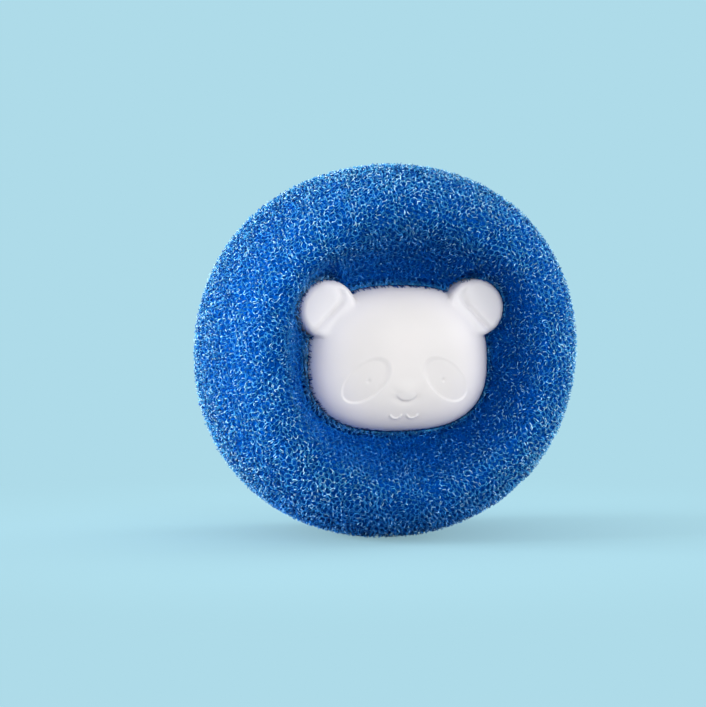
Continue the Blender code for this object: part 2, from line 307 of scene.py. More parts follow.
def pocket_table():
    """Radius of the foam's pocket round the ball's axis, for evenly spaced directions.

    It is the cap's outline with the seat gap, seen from the ball's axis in the foam's own
    widened coordinates.
    """
    angle = np.linspace(0, 2 * np.pi, 2880, endpoint=False)
    reach = cap_reach(angle, SEAT_GAP)
    x = reach * np.cos(angle) / FOAM_WIDEN
    y = reach * np.sin(angle) - HEAD_DROP
    around = np.unwrap(np.arctan2(y, x))
    order = np.argsort(around)
    around, radius = around[order], np.hypot(x, y)[order]
    even = np.linspace(-np.pi, np.pi, 1441)
    return even, np.interp(even, around, radius, period=2 * np.pi)


POCKET = pocket_table()


def pocket_edge(around):
    """Radius of the pocket in any direction round the ball's axis."""
    return np.interp(around, *POCKET, period=2 * np.pi)


def foam_rim(around):
    """Radius of the foam's rim: a circle with three slow waves round it.

    They make it fuller toward the upper right and the lower left of the face, as a soft ball
    that was squashed by hand is.
    """
    wave = 0.016 * np.sin(2 * around) - 0.005 * np.cos(2 * around) - 0.008 * np.cos(4 * around)
    return FOAM_RADIUS * (0.996 + wave)


def ball_polar(points):
    """Radius and direction of points round the ball's axis, in the foam's widened coordinates."""
    x, y = points[..., 0] / FOAM_WIDEN, points[..., 1]
    return np.hypot(x, y), np.arctan2(y, x)


def lip_level(edge):
    """Level of the foam's lip beside a cap's edge at the given distance from the axis.

    It rises evenly with that distance, and by a smooth step more beside the ears.
    """
    rise = LIP_RISE + LIP_SLOPE * (edge - CHIN_HEIGHT)
    return WIDEST_LEVEL + rise + EAR_LIP_RISE * step(edge - EAR_LIP_START, 2.0)


def foam_top(radius, around):
    """Level of the foam's front surface at a radius and direction round the ball's axis.

    From the pocket's lip it climbs to the crest by a cosine curve, and outside the crest it
    comes down by a quarter superellipse.
    """
    edge = pocket_edge(around)
    lip = lip_level(edge)
    share = np.clip((radius - edge) / (CREST_RADIUS - edge), 0, 1)
    inner = lip + (1 - np.cos(np.pi * share)) / 2 * (CREST_LEVEL - lip)
    out = np.clip((radius - CREST_RADIUS) / (foam_rim(around) - CREST_RADIUS), 0, 1)
    outer = CREST_LEVEL * (1 - out**RIM_FULLNESS) ** (1 / RIM_FULLNESS)
    return np.where(radius < CREST_RADIUS, inner, outer)


def foam_slope(radius, around):
    """How steeply the front surface climbs outward, from its levels a little way to each side."""
    return (foam_top(radius + 0.05, around) - foam_top(radius - 0.05, around)) / 0.1


def foam_depth(points):
    """How deep each point lies under the foam's surface, in mm, less than 0 outside.

    Inside the crest it is the height under the front surface over the length of that
    surface's slope, and outside it the superellipse's own value over the length of its
    gradient. The pocket's wall, its floor and the hole's wall are the nearest planes or
    cylinders.
    """
    level = np.abs(points[:, 2])
    radius, around = ball_polar(points)
    edge = pocket_edge(around)
    top = foam_top(radius, around)
    slope = foam_slope(radius, around)
    dimple = (top - level) / np.sqrt(1 + slope**2)
    power = RIM_FULLNESS
    width = foam_rim(around) - CREST_RADIUS
    out = np.maximum(radius - CREST_RADIUS, 1e-6) / width
    up = np.maximum(level, 1e-6) / CREST_LEVEL
    value = (out**power + up**power) ** (1 / power)
    steep = np.hypot(
        (out / value) ** (power - 1) / width,
        (up / value) ** (power - 1) / CREST_LEVEL,
    )
    rim = (1 - value) / steep
    body = np.where(radius < CREST_RADIUS, dimple, rim)
    body = np.minimum(body, radius - edge)
    slab = PINCHED_LEVEL - level
    hole = np.hypot(points[:, 0], points[:, 1]) - (TUBE_RADIUS + SEAT_GAP)
    ground = points[:, 1] + CENTRE_HEIGHT
    inside = np.minimum(np.maximum(body, slab), hole)
    inside = np.where(radius > CREST_RADIUS, body, inside)
    return np.minimum(inside, ground)


def to_world(points, turned=False):
    """Ball millimetres to world metres. Turned is half a turn round the ball's upright axis."""
    side = -1.0 if turned else 1.0
    x, y, z = points[..., 0] * side, points[..., 1], points[..., 2] * side
    return np.stack([x, -z, y + CENTRE_HEIGHT], -1) * MM


def mesh_from(name, points, sizes, corners, smooth=True):
    """A mesh object from whole arrays: points, corners per face and the corners themselves."""
    mesh = bpy.data.meshes.new(name)
    mesh.vertices.add(len(points))
    mesh.vertices.foreach_set("co", np.asarray(points, np.float32).ravel())
    mesh.loops.add(len(corners))
    mesh.loops.foreach_set("vertex_index", np.asarray(corners, np.int32))
    mesh.polygons.add(len(sizes))
    starts = np.concatenate([[0], np.cumsum(sizes)[:-1]])
    mesh.polygons.foreach_set("loop_start", starts.astype(np.int32))
    mesh.update(calc_edges=True)
    mesh.validate()
    if smooth:
        mesh.shade_smooth()
    piece = bpy.data.objects.new(name, mesh)
    bpy.context.scene.collection.objects.link(piece)
    return piece


def grid_faces(rows, columns, flip=False, close_rows=False):
    """Corners of the quads of a grid of points that closes round its columns.

    Each quad joins a point, the next in its row and the two below them. Its first and last
    row may be joined too.
    """
    last = rows if close_rows else rows - 1
    row = np.arange(last)[:, None]
    column = np.arange(columns)[None, :]
    after, below = (column + 1) % columns, (row + 1) % rows
    quads = np.stack(
        [
            row * columns + column,
            row * columns + after,
            below * columns + after,
            below * columns + column,
        ],
        -1,
    ).reshape(-1, 4)
    return quads[:, ::-1] if flip else quads


# The foam


def rotation(axis, angle):
    """Rotation matrix about an axis, by the usual cross-product formula."""
    axis = np.asarray(axis, float) / np.linalg.norm(axis)
    cross = np.array(
        [[0, -axis[2], axis[1]], [axis[2], 0, -axis[0]], [-axis[1], axis[0], 0]]
    )
    return np.eye(3) + math.sin(angle) * cross + (1 - math.cos(angle)) * cross @ cross


def cell_corners():
    """The twelve corners of a foam cell lattice's period, and the four seeds round each.

    Seeds stand at the corners and centres of a cubic lattice. The cells round them are
    fourteen-sided, and each cell corner lies midway between four seeds.
    """
    spots = []
    for first, second in ((1, 2), (2, 0), (0, 1), (2, 1), (1, 0), (0, 2)):
        for quarters in (1, 3):
            spot = [0, 0, 0]
            spot[first] = quarters
            spot[second] = 2
            spots.append(spot)
    corners = np.array(sorted(spots)) / 4.0
    cube = np.array(np.meshgrid(*[range(-1, 3)] * 3, indexing="ij")).reshape(3, -1).T
    seeds = np.concatenate([cube, cube + 0.5])
    near = []
    for corner in corners:
        apart = np.linalg.norm(seeds - corner, axis=1)
        near.append(np.argsort(apart, kind="stable")[:4])
    return corners, seeds, np.array(near)


def cell_edges(corners):
    """The edges of one period: each corner's links to corners a strand's length away."""
    links = set()
    periods = np.array(np.meshgrid(*[range(-1, 2)] * 3, indexing="ij")).reshape(3, -1).T
    for here, corner in enumerate(corners):
        for period in periods:
            for there, other in enumerate(corners):
                apart = np.linalg.norm(other + period - corner)
                if 0.3 < apart < 0.4 and (there, here, *(-period)) not in links:
                    links.add((here, there, *period))
    return np.array(sorted(links))


def cell_places(cell, shifts):
    """Every corner of a cube of cells round the ball's middle, by its kind and its cell.

    A corner lies at its place in the cell's period plus the mean of its four seeds' shifts,
    which are given for the lattice's corners and for its centres.
    """
    corners, seeds, near = cell_corners()
    count = shifts.shape[1]
    axis = np.arange(count, dtype=np.float32)
    origin = np.stack(np.meshgrid(axis, axis, axis, indexing="ij"), -1)
    places = np.empty((len(corners), count, count, count, 3), np.float32)
    for kind, corner in enumerate(corners):
        moved = np.zeros_like(origin)
        for index in near[kind]:
            seed = seeds[index]
            sort = int(seed[0] % 1 > 0.25)
            period = np.floor(seed).astype(int)
            moved += np.roll(shifts[sort], tuple(-period), axis=(0, 1, 2))
        places[kind] = (origin + corner + moved / 4 - count / 2) * cell
    return places


def bend_slowly(places):
    """Moves all places by long sine waves, each square to the way along which it runs."""
    for wave, size, phase in SLOW_WAVES:
        along = places @ np.array(wave, np.float32) * 1.6 + phase
        way = np.array((wave[1], wave[2], wave[0]), np.float32)
        places += (np.sin(along) * size)[..., None] * (way / np.linalg.norm(way))


def net_strands(places):
    """Both ends of the strands between cell corners, without the cube's outermost cells."""
    inner = slice(2, places.shape[1] - 2)
    starts, ends = [], []
    for here, there, i, j, k in cell_edges(cell_corners()[0]):
        moved = np.roll(places[there], (-i, -j, -k), axis=(0, 1, 2))
        starts.append(places[here][inner, inner, inner].reshape(-1, 3))
        ends.append(moved[inner, inner, inner].reshape(-1, 3))
    return np.concatenate(starts), np.concatenate(ends)


def strand_lines(cell, depth, seed):
    """Both ends and the depth of every strand in the skin of the foam, in millimetres.

    The strands are the edges of fourteen-sided cells. Each seed of the lattice is moved at
    random, which makes every cell its own shape. The lattice is turned off the ball's axes
    and bent by long sine waves, so that no rows show. Only strands whose middles lie within
    the depth of the surface are kept, and beside the caps some stand out of it.
    """
    rng = np.random.default_rng(seed)
    count = int(2 * LATTICE_REACH / cell) + 2
    shifts = rng.uniform(-SEED_SHIFT, SEED_SHIFT, (2, count, count, count, 3))
    turn = rotation((0.3, 0.8, 0.52), 0.71)
    places = cell_places(cell, shifts.astype(np.float32)) @ turn.T.astype(np.float32)
    bend_slowly(places)
    starts, ends = net_strands(places)
    middle = (starts + ends) / 2
    boxed = (np.abs(middle) < BALL_BOX).all(axis=1)
    starts, ends, middle = starts[boxed], ends[boxed], middle[boxed]
    under = foam_depth(middle)
    radius, around = ball_polar(middle)
    edge = pocket_edge(around)
    free = rng.uniform(-0.12, 0.18, len(middle))
    free -= 0.22 * np.exp(-(((radius - edge) / FRAY_WIDTH) ** 2))
    keep = (under > free) & (under < depth)
    return starts[keep], ends[keep], under[keep]


def edge_hairs(count, seed):
    """Cut ends of foam that lean over the caps' edges: both ends of two strands for each.

    A hair is rooted in the foam's lip just outside the cap's outline, rises beside the cap's
    edge and ends a little way in over the cap, just clear of its surface. None is made in the
    notches beside the ears, where it would span from the ear to the head. The four quarters
    of what comes back are the front hairs' roots and tips and then the rear ones'.
    """
    rng = np.random.default_rng(seed)
    angle = rng.uniform(0, 2 * np.pi, count)
    lean = rng.normal(0.0, 0.02, (2, count))
    stops = (
        (angle, rng.uniform(*HAIR_ROOT, count)),
        (angle + lean[0], rng.uniform(*HAIR_BEND, count)),
        (angle + lean[0] + lean[1], rng.uniform(*HAIR_TIP, count)),
    )
    places = []
    for order, (turn, out) in enumerate(stops):
        reach = cap_reach(turn)
        x = (reach + out) * np.cos(turn)
        y = (reach + out) * np.sin(turn) - HEAD_DROP
        if order == 0:
            level = lip_level(np.hypot(x / FOAM_WIDEN, y)) - 0.1
        else:
            near = np.minimum(reach + out, reach - 0.02)
            level = cap_level(near * np.cos(turn), near * np.sin(turn) - HEAD_DROP)
            level = level + rng.uniform(0.05, 0.2, count)
        places.append(np.stack([x, y, level], -1))
    halves = np.diff(places, axis=0)[..., :2]
    kept = np.linalg.norm(halves, axis=-1).max(axis=0) < HAIR_SPAN
    places = [place[kept] for place in places]
    starts = np.concatenate(places[:2])
    ends = np.concatenate(places[1:])
    behind = np.array([1.0, 1.0, -1.0])
    return np.concatenate([starts, starts * behind]), np.concatenate([ends, ends * behind])


def strand_prisms(starts, ends, radius):
    """Three-sided strands with closed ends, as arrays of points, face sizes and corners.

    Each end is a ring of three points at the strand's radius round its axis. Three sides of
    four corners join the two rings, and a triangle closes each.
    """
    along = ends - starts
    along /= np.linalg.norm(along, axis=1)[:, None]
    helper = np.where(np.abs(along[:, :1]) < 0.8, [[1.0, 0, 0]], [[0, 1.0, 0]])
    right = np.cross(along, helper)
    right /= np.linalg.norm(right, axis=1)[:, None]
    up = np.cross(along, right)
    angles = np.arange(3) * 2 * np.pi / 3
    ring = radius[:, None, None] * (
        np.cos(angles)[None, :, None] * right[:, None] + np.sin(angles)[None, :, None] * up[:, None]
    )
    points = np.stack([starts[:, None] + ring, ends[:, None] + ring], 1).reshape(-1, 3)
    faces = np.array([0, 1, 4, 3, 1, 2, 5, 4, 2, 0, 3, 5, 2, 1, 0, 3, 4, 5])
    corners = (np.arange(len(starts))[:, None] * 6 + faces).ravel()
    sizes = np.tile([4, 4, 4, 3, 3], len(starts))
    return points, sizes, corners


def strand_colour(tree, shade, settings):
    """The outermost colour at shade 0, the middle one at 0.35 and the core's at 1.

    The outer two pass into their shaded forms, which are painted shade, by the stored share
    that says where the foam is shaded.
    """
    # The stored share of the shaded colours, which are painted shade.
    shaded = add_node(tree, "ShaderNodeAttribute", attribute_name="shaded").outputs["Fac"]
    skin, middle = (
        add_node(
            tree,
            "ShaderNodeMix",
            {"Factor": shaded, "A": linear(lit_hex), "B": linear(shaded_hex)},
            data_type="RGBA",
        )
        for lit_hex, shaded_hex in (
            (settings.strand_colour, settings.shaded_strand_colour),
            (settings.middle_colour, settings.shaded_middle_colour),
        )
    )
    near = add_node(tree, "ShaderNodeMapRange", {"Value": shade, "From Max": 0.35})
    outer = add_node(
        tree, "ShaderNodeMix", {"Factor": near, "A": skin, "B": middle}, data_type="RGBA"
    )
    far = add_node(tree, "ShaderNodeMapRange", {"Value": shade, "From Min": 0.35})
    whole = add_node(
        tree,
        "ShaderNodeMix",
        {"Factor": far, "A": outer, "B": linear(settings.core_colour)},
        data_type="RGBA",
    )
    return whole.outputs["Result"]


def strand_light(tree, shade):
    """What the colour is multiplied by.

    It changes in clouds about 1.1 mm wide, as the dye took, and falls to a tenth as the shade
    goes from 1 to 2: painted shade for strands that lie in the dark.
    """
    place = add_node(tree, "ShaderNodeTexCoord").outputs["Object"]
    cloud = add_node(tree, "ShaderNodeTexNoise", {"Vector": place, "Scale": 900.0, "Detail": 1.0})
    vary = add_node(
        tree,
        "ShaderNodeMapRange",
        {"Value": cloud, "From Min": 0.3, "From Max": 0.7, "To Min": 0.65, "To Max": 1.3},
    )
    # Painted shade: shades from 1 to 2 fall to a tenth of the colour.
    dark = add_node(
        tree,
        "ShaderNodeMapRange",
        {"Value": shade, "From Min": 1.0, "From Max": 2.0, "To Min": 1.0, "To Max": 0.1},
    )
    share = add_node(tree, "ShaderNodeMath", {0: vary, 1: dark}, operation="MULTIPLY")
    return share.outputs["Value"]


def strand_material(settings):
    """Reticulated polyurethane foam, dyed through: smooth round threads with a soft gloss.

    Their colour holds painted light and shade: a random part is painted pale as the glints
    of small lights, and they are painted a deeper blue, as shade, the further they lie under
    the foam's skin and down in its pinched dimple, where little light comes back out.
    """
    material, tree, shader = new_material("dyed_strands_painted_glints_and_shade")
    shade = add_node(tree, "ShaderNodeAttribute", attribute_name="shade").outputs["Fac"]
    tint = add_node(
        tree,
        "ShaderNodeVectorMath",
        {0: strand_colour(tree, shade, settings), 1: strand_light(tree, shade)},
        operation="MULTIPLY",
    )
    gloss = {"Roughness": 0.3, "IOR": 1.5, "Specular IOR Level": 0.04}
    fill_inputs(tree, shader, {"Base Color": tint, **gloss})
    return material


def core_material(settings):
    """The foam seen deep between its strands: a sheet painted dark blue as shade, with the
    cells' net a little lighter.

    The net's cells are 0.87 mm wide, like the strands' own, and the gaps between them are
    painted darker still, as shade. All of it is painted lighter where light reaches down to it.
    """
    material, tree, shader = new_material("deep_cells_painted_shade")
    place = add_node(tree, "ShaderNodeTexCoord").outputs["Object"]
    cells = add_node(
        tree, "ShaderNodeTexVoronoi", {"Vector": place, "Scale": 1150.0}, feature="DISTANCE_TO_EDGE"
    )
    net = add_node(tree, "ShaderNodeMapRange", {"Value": cells, "From Min": 0.05, "From Max": 0.16})
    deep = np.array(linear(settings.core_colour))
    # Painted shade: the net's threads and, darker still, its gaps, as fractions of the core colour.
    thread, gap = tuple(deep * [0.6, 0.7, 0.75, 1]), tuple(deep * [0.35, 0.42, 0.45, 1])
    mix = add_node(
        tree, "ShaderNodeMix", {"Factor": net, "A": thread, "B": gap}, data_type="RGBA"
    )
    lit = add_node(tree, "ShaderNodeAttribute", attribute_name="lit").outputs["Fac"]
    share = add_node(tree, "ShaderNodeMapRange", {"Value": lit, "To Min": 1.0, "To Max": 1.6})
    tint = add_node(tree, "ShaderNodeVectorMath", {0: mix, 1: share}, operation="MULTIPLY")
    fill_inputs(
        tree, shader, {"Base Color": tint, "Roughness": 0.8, "Specular IOR Level": 0.0}
    )
    return material


def foam_core(depth):
    """The closed surface a strand depth under the foam's skin, as a grid.

    Its section starts in the hole, crosses the pocket's floor, climbs the wall and the
    dimple, passes the crest and comes down to the middle, and the same is mirrored behind.
    """
    columns = 480
    around = np.linspace(-np.pi, np.pi, columns, endpoint=False)
    edge = pocket_edge(around)
    hole = TUBE_RADIUS + SEAT_GAP + depth
    rows = []
    for share in np.linspace(0, 1, 6):
        radius = hole + (edge + depth * 0.9 - hole) * share
        rows.append((radius, np.full(columns, PINCHED_LEVEL - depth * 0.6)))
    for share in np.linspace(0, 1, 26)[1:]:
        radius = edge + depth + (CREST_RADIUS - edge - depth) * share
        level = foam_top(radius, around)
        slope = foam_slope(radius, around)
        rows.append((radius, level - depth * np.minimum(np.sqrt(1 + slope**2), 2.0)))
    for angle in np.linspace(np.pi / 2, 0, 24)[1:]:
        out = np.cos(angle) ** (2 / RIM_FULLNESS)
        up = abs(np.sin(angle)) ** (2 / RIM_FULLNESS) if angle > 1e-6 else 0.0
        radius = CREST_RADIUS + out * (foam_rim(around) - depth - CREST_RADIUS)
        rows.append((radius, np.full(columns, (CREST_LEVEL - depth) * up)))
    rows += [(radius, -level) for radius, level in reversed(rows[:-1])]
    radius, level = (np.array([row[i] for row in rows]) for i in (0, 1))
    x, y = radius * FOAM_WIDEN * np.cos(around), radius * np.sin(around)
    y = np.maximum(y, -CENTRE_HEIGHT + depth * 0.6)
    points = np.stack([x, y, level], -1)
    return points.reshape(-1, 3), grid_faces(len(rows), columns, flip=True, close_rows=True)


def dimple_place(points):
    """Radius, direction and place of points in the dimple.

    The place is how far down the dimple's side, from 0 on the crest to 1 at the cap by a
    smooth step, how near the cap's edge, by a bell curve, and how far to the right.
    """
    radius, around = ball_polar(points)
    edge = pocket_edge(around)
    down = np.clip((CREST_RADIUS + 1.0 - radius) / (CREST_RADIUS + 1.0 - edge), 0, 1)
    lip = np.exp(-(((radius - edge) / 1.1) ** 2))
    right = np.clip(radius * np.cos(around) / 14.0, -1, 1)
    return radius, around, down * down * (3 - 2 * down), lip, right


def core_light(points):
    """How much light reaches the deep cells, from 0 to 1.

    More comes beside the white caps, which throw it back, and down the dimple's left side.
    """
    _, _, pinch, lip, right = dimple_place(points)
    return np.clip(lip + 1.2 * pinch * np.clip(-right, 0, 1), 0, 1)


def strand_shade(starts, ends, under):
    """How deep each strand's colour is, and how much it takes of the shaded colours.

    A random part of the strands glints, painted pale as their highlights, and the rest lies
    back in the cells. Both are painted darker with the depth under the skin, as shade. Down
    the dimple the glinting ones do so on its left and the rest on its right, and beside the
    caps, which throw light back, the rest are painted lighter. Fewer glint in all these
    places and toward the foot, and some round the widest line are painted dark, as shade.
    The shaded colours, painted shade, are used most down the dimple, beside the caps and at
    the foot.
    """
    rng = np.random.default_rng(11)
    radius, around, pinch, lip, right = dimple_place((starts + ends) / 2)
    # Painted shade toward the foot: fewer and darker glints, and the shaded colours.
    foot = 1 - step(radius * np.sin(around) + FOOT_DROP, 9.0)
    rim = step(radius - RIM_START, 2.4)
    deep = np.clip(under / 0.5, 0, 1)
    # Painted highlights: a random share of the strands glints, fewer down the dimple, beside the
    # caps and toward the foot.
    shining = rng.random(len(under)) < 0.4 - 0.12 * pinch - 0.1 * lip - 0.12 * foot
    # Painted shade with the depth and down the dimple, and painted light on the rest beside the
    # caps.
    bright = (0.26 - 0.22 * right) * pinch + 0.8 * deep - 0.06 + 0.05 * foot
    dull = 0.5 + (0.34 + 0.32 * right) * pinch + 0.4 * deep - 0.45 * lip
    spread = rng.uniform(-0.2, 0.2, len(under))
    shade = np.clip(np.where(shining, bright, dull) + spread, 0, 1)
    # Painted shade: some strands round the widest line are made dark.
    shade += rim * (rng.random(len(under)) < 0.3)
    # Share of the shaded colours, which are painted shade: most down the dimple and less on its
    # right, beside the caps and at the foot.
    shaded = 2 * pinch * (1 - 0.5 * np.maximum(right, 0))
    return shade, np.clip(np.maximum(np.maximum(shaded, 1.5 * lip), foot), 0, 1)


def hair_shade(count, rng):
    """Shades of the hairs' halves, in the order of edge_hairs: light roots, and tips painted dark
    as shade.
    """
    return np.repeat([0.3, 1.2, 0.3, 1.2], count // 4) + 0.6 * rng.random(count)


def keep_values(piece, name, values):
    """Stores a value for each of a piece's points, where its material finds it by name."""
    attribute = piece.data.attributes.new(name, "FLOAT", "POINT")
    attribute.data.foreach_set("value", values.astype(np.float32))


class LAUNDRYBALL_OT_foam(bpy.types.Operator):
    """Make the foam: its skin of strands and the depth under them, painted dark as shade"""

    bl_idname = "laundryball.foam"
    bl_label = "Foam"

    def execute(self, context):
        settings = context.scene.laundry_foam
        for piece in (self.strands(settings), self.depth(settings)):
            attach(piece, "core")
            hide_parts("foam_ring")
        return {"FINISHED"}

    def strands(self, settings):
        """The net of the skin and the hairs over the caps' edges, as one piece."""
        starts, ends, under = strand_lines(settings.cell, settings.depth, seed=7)
        shades, shaded = strand_shade(starts, ends, under)
        hair_starts, hair_ends = edge_hairs(HAIR_COUNT, seed=5)
        rng = np.random.default_rng(3)
        shades = np.concatenate([shades, hair_shade(len(hair_starts), rng)])
        shaded = np.concatenate([shaded, np.zeros(len(hair_starts))])
        starts = np.concatenate([starts, hair_starts])
        ends = np.concatenate([ends, hair_ends])
        radius = settings.strand * rng.uniform(0.8, 1.2, len(starts))
        points, sizes, corners = strand_prisms(starts, ends, radius)
        points[:, 1] = np.maximum(points[:, 1], -CENTRE_HEIGHT + 0.01)
        piece = mesh_from("foam_strands", to_world(points), sizes, corners)
        # The shade and the shaded share hold painted light and shade; the hairs take none of the
        # shaded colours.
        keep_values(piece, "shade", np.repeat(shades, 6))
        keep_values(piece, "shaded", np.repeat(shaded, 6))
        piece.data.materials.append(strand_material(settings))
        return piece

    def depth(self, settings):
        """The closed surface that lies under the strands, painted dark as shade."""
        points, quads = foam_core(settings.depth)
        piece = mesh_from("foam_depth", to_world(points), np.full(len(quads), 4), quads.ravel())
        keep_values(piece, "lit", core_light(points))
        piece.data.materials.append(core_material(settings))
        return piece


# The caps


def smooth_max(a, b, soft):
    """The larger of two heights, with a fillet of about the given size where they meet."""
    blend = np.clip(0.5 + (a - b) / (2 * soft), 0, 1)
    return b + (a - b) * blend + soft * blend * (1 - blend)


def head_spread(x, y):
    """Where a point of the face lies: 0 on the dome's top and 1 on the head's outline."""
    rise = y + HEAD_DROP
    height = np.where(rise > 0, CROWN_HEIGHT, CHIN_HEIGHT)
    power = np.where(rise > 0, CROWN_SQUARENESS, CHIN_SQUARENESS)
    share = (np.abs(x) / HEAD_HALF_WIDTH) ** power + (np.abs(rise) / height) ** power
    return share ** (1 / power)


def dome_level(x, y):
    """Level of the dome: a superellipse section over the spread, steep outside the outline."""
    spread = head_spread(x, y)
    inside = np.maximum(1 - np.minimum(spread, 1) ** DOME_SQUARENESS, 0)
    level = WIDEST_LEVEL + BROW_DEPTH * inside ** (1 / DOME_SQUARENESS)
    return level - np.maximum(spread - 1, 0) * 90


def ear_level(x, y, side):
    """Level of an ear: a disc with a quarter round edge, whose far side is a raised pad.

    Across it, on the side of the head, runs a soft groove, then a band, then the crease
    where the dome begins. Groove and crease are bell curves, and the groove turns round the
    top of the pad.
    """
    dx, dy = side * x - EAR_X, y - EAR_Y
    radius = np.hypot(dx, dy)
    rounding = 1.0
    over = np.clip((radius - (EAR_RADIUS - rounding)) / rounding, 0, 1)
    level = EAR_LEVEL - rounding * (1 - np.sqrt(np.maximum(1 - over**2, 0)))
    turn = math.radians(EAR_TURN)
    inward = dx * math.cos(turn) + dy * math.sin(turn)
    upward = dx * math.sin(turn) - dy * math.cos(turn)
    line = smooth_max(inward - 0.7, upward - 3.2, 2.0)
    pad = 0.12 * step(-line - 0.15, 0.8)
    groove = 0.42 * np.exp(-((line / 0.42) ** 2)) * step(inward + 0.9, 1.8)
    crease = 0.06 * np.exp(-(((inward - 2.5) / 0.3) ** 2))
    level = level + pad - groove - crease
    return level - np.maximum(radius - EAR_RADIUS, 0) * 40


def eye_relief(x, y, side):
    """An eye: a shallow oval hollow and a small pit in it.

    The oval is a tilted ellipse. Its floor lies deepest on its lower side toward the nose,
    and its edge is sharp on the outer side and soft on the side of the nose. The pit is a
    bell curve over a small ellipse.
    """
    dx, dy = side * x - EYE_X, y - EYE_Y
    tilt = math.radians(EYE_TILT)
    along = -dx * math.sin(tilt) + dy * math.cos(tilt)
    across = dx * math.cos(tilt) + dy * math.sin(tilt)
    oval = np.hypot(along / EYE_HALF_LENGTH, across / EYE_HALF_WIDTH)
    depth = 0.27 - 0.18 * step(across - 0.6, 4.0)
    hollow = depth * step(1 - oval, 0.19 - 0.09 * np.clip(dx / 3, -1, 1))
    pit = 0.12 * np.exp(-((np.hypot((dx + 0.4) / 0.24, dy / 0.34)) ** 2))
    return -hollow - pit


def nose_relief(x, y):
    """The nose: a mound over a half ellipse, with a shadow line sunk in under it.

    It falls off sharply on its underside and fades into the brow above.
    """
    dy = y - NOSE_Y
    reach = np.hypot(x / (1.7 + 1.4 * np.maximum(dy, 0)), dy / np.where(dy < 0, 1.3, 2.6))
    fall = 0.3 + 2.2 * step(dy / 1.3 + 0.2, 1.6)
    mound = 0.24 * np.maximum(1 - reach**2, 0) ** fall
    width = np.where(reach < 1.05, 0.1, 0.45)
    line = 0.16 * step(-dy / 1.3 - 0.45, 0.9) * np.exp(-(((reach - 1.05) / width) ** 2))
    return mound - line


def mouth_relief(x, y, side):
    """Half of the mouth: a narrow ridge along the lower half of a flat ring."""
    dx, dy = x - side * MOUTH_X + 0.15, y - MOUTH_Y
    ring = np.hypot(dx, dy * 1.3)
    return 0.28 * np.exp(-(((ring - 0.85) / 0.17) ** 2)) * step(-dy - 0.12, 0.5)


def face_relief(x, y):
    """Both eyes, the nose and the mouth, as a change of the cap's level."""
    eyes = eye_relief(x, y, -1) + eye_relief(x, y, 1)
    mouth = mouth_relief(x, y, -1) + mouth_relief(x, y, 1)
    return eyes + nose_relief(x, y) + mouth


def cap_level(x, y):
    """Level of the cap's whole front, dome and ears joined by fillets, with the relief."""
    ears = np.maximum(ear_level(x, y, -1), ear_level(x, y, 1))
    return smooth_max(dome_level(x, y), ears, 0.35) + face_relief(x, y)


def ceiling_level(x, y):
    """Level of the inside of the cap's front: the outside's level less the wall."""
    angle = np.arctan2(y + HEAD_DROP, x)
    swell = cap_reach(angle) / cap_reach(angle, -SHELL_WALL)
    outside = cap_level(x * swell, (y + HEAD_DROP) * swell - HEAD_DROP)
    return np.maximum(outside, WIDEST_LEVEL) - SHELL_WALL


def ring_of(x, y, level):
    """One ring of the cap's wall, as points."""
    return np.stack([x, y, np.broadcast_to(level, x.shape)], -1)


def outer_rings(angle):
    """Rings out over the cap's front, closer near its outline, and down its side."""
    c, s = np.cos(angle), np.sin(angle)
    reach = cap_reach(angle)
    rings = []
    for share in 0.9995 * (1 - (1 - np.linspace(0, 1, 121)[1:]) ** 1.35):
        x, y = share * reach * c, share * reach * s - HEAD_DROP
        rings.append(ring_of(x, y, np.maximum(cap_level(x, y), WIDEST_LEVEL)))
    for fall, tuck in ((0.3, 0.0), (0.6, 0.0), (0.88, 0.0), (0.96, 0.006), (1.0, 0.02)):
        rim = reach * (1 - tuck)
        level = WIDEST_LEVEL + (CAP_BACK - WIDEST_LEVEL) * fall
        rings.append(ring_of(rim * c, rim * s - HEAD_DROP, level))
    return rings


def inner_rings(angle):
    """Rings in under the rim, up the inner wall and over the ceiling to the socket tube.

    Then they go down the tube, in at its end and up the bore.
    """
    c, s = np.cos(angle), np.sin(angle)
    inside = cap_reach(angle, -SHELL_WALL)
    rings = [
        ring_of(inside * 1.01 * c, inside * 1.01 * s - HEAD_DROP, CAP_BACK),
        ring_of(inside * c, inside * s - HEAD_DROP, CAP_BACK + 0.06),
    ]
    for share in np.linspace(0.995, 0, 22):
        x = share * inside * c + (1 - share) * TUBE_RADIUS * c
        y = share * (inside * s - HEAD_DROP) + (1 - share) * TUBE_RADIUS * s
        rings.append(ring_of(x, y, ceiling_level(x, y)))
    for radius, level in (
        (TUBE_RADIUS, CAP_BACK),
        (TUBE_RADIUS, 0.3),
        (TUBE_RADIUS - 0.12, SEAT_GAP / 2),
        (BORE_RADIUS + 0.12, SEAT_GAP / 2),
        (BORE_RADIUS, 0.3),
        (BORE_RADIUS, SOCKET_END),
    ):
        rings.append(ring_of(radius * c, radius * s, level))
    return rings


